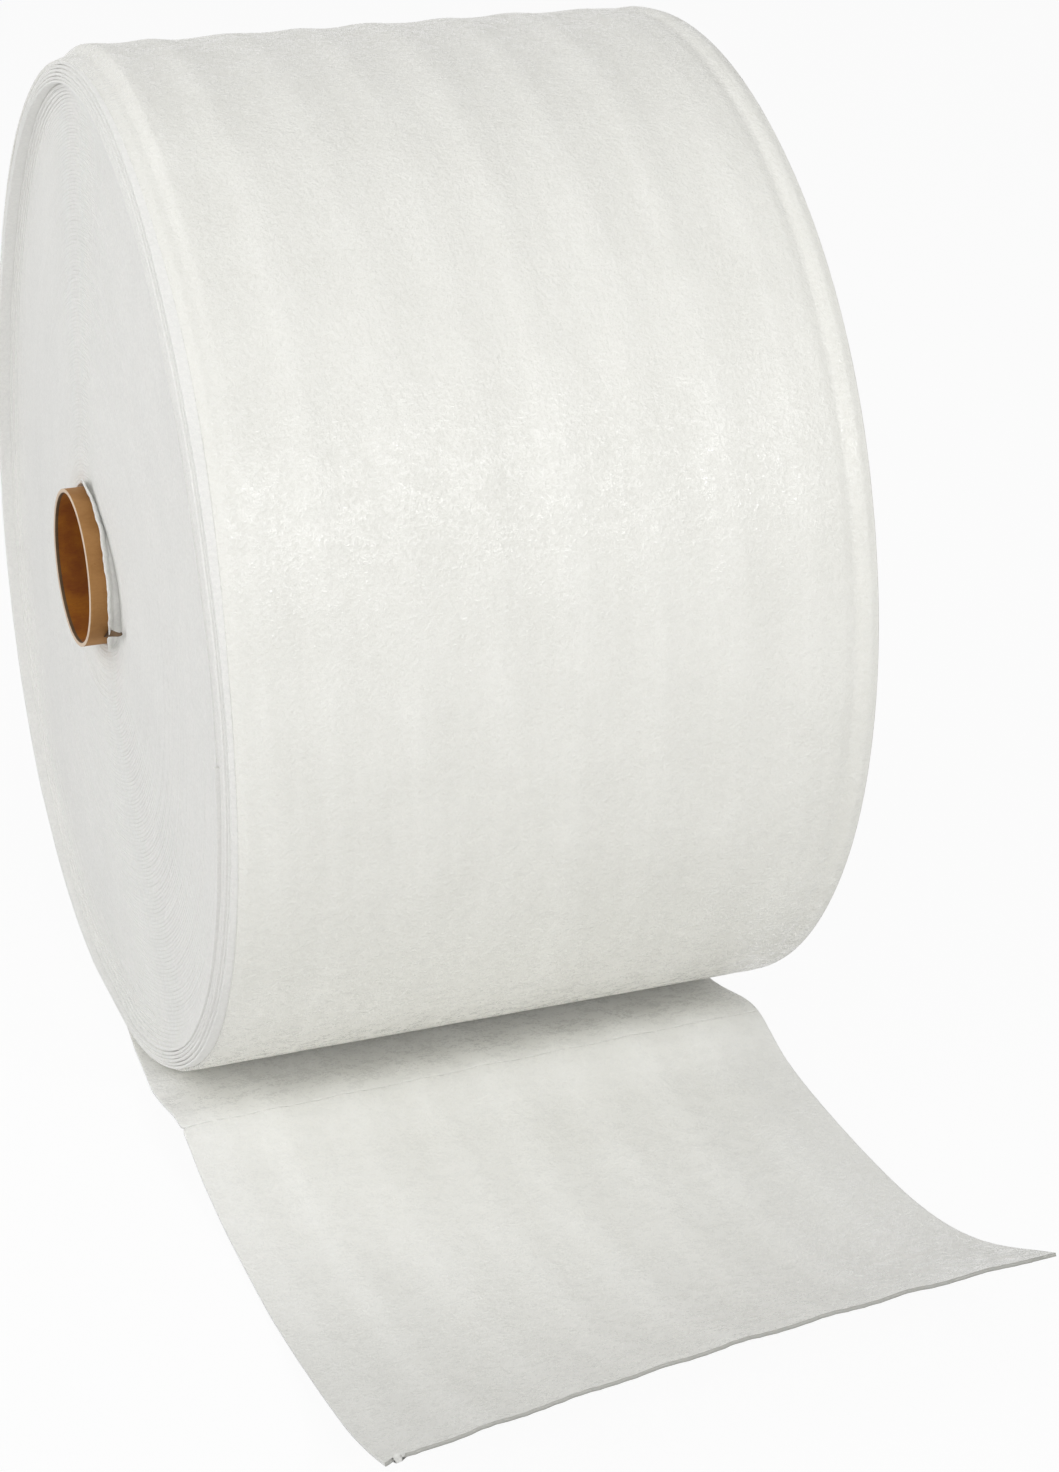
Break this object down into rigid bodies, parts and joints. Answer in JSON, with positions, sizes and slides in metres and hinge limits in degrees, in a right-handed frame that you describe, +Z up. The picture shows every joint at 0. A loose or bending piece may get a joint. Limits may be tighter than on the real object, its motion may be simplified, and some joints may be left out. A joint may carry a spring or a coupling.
{
  "type": "foam wrap roll",
  "caption": "Roll of thin white perforated polyethylene foam wrap on a paperboard core, lying on its side with the last sheet drawn out, for wrapping and cushioning goods.",
  "frame": {"origin": "on the winding axis, at the middle of the web's width", "axes": "+X along the core towards the end where the tube is sunk in, -Y the way the last sheet is drawn out, +Z up"},
  "size_m": [0.3262, 0.7069, 0.5132],
  "materials": {
    "foam": "soft satin, faintly pearly closed-cell foam",
    "paperboard": "matt kraft paper"
  },
  "bodies": {
    "root": {"foam_web": "foam", "core_tube": "paperboard"}
  },
  "joints": []
}
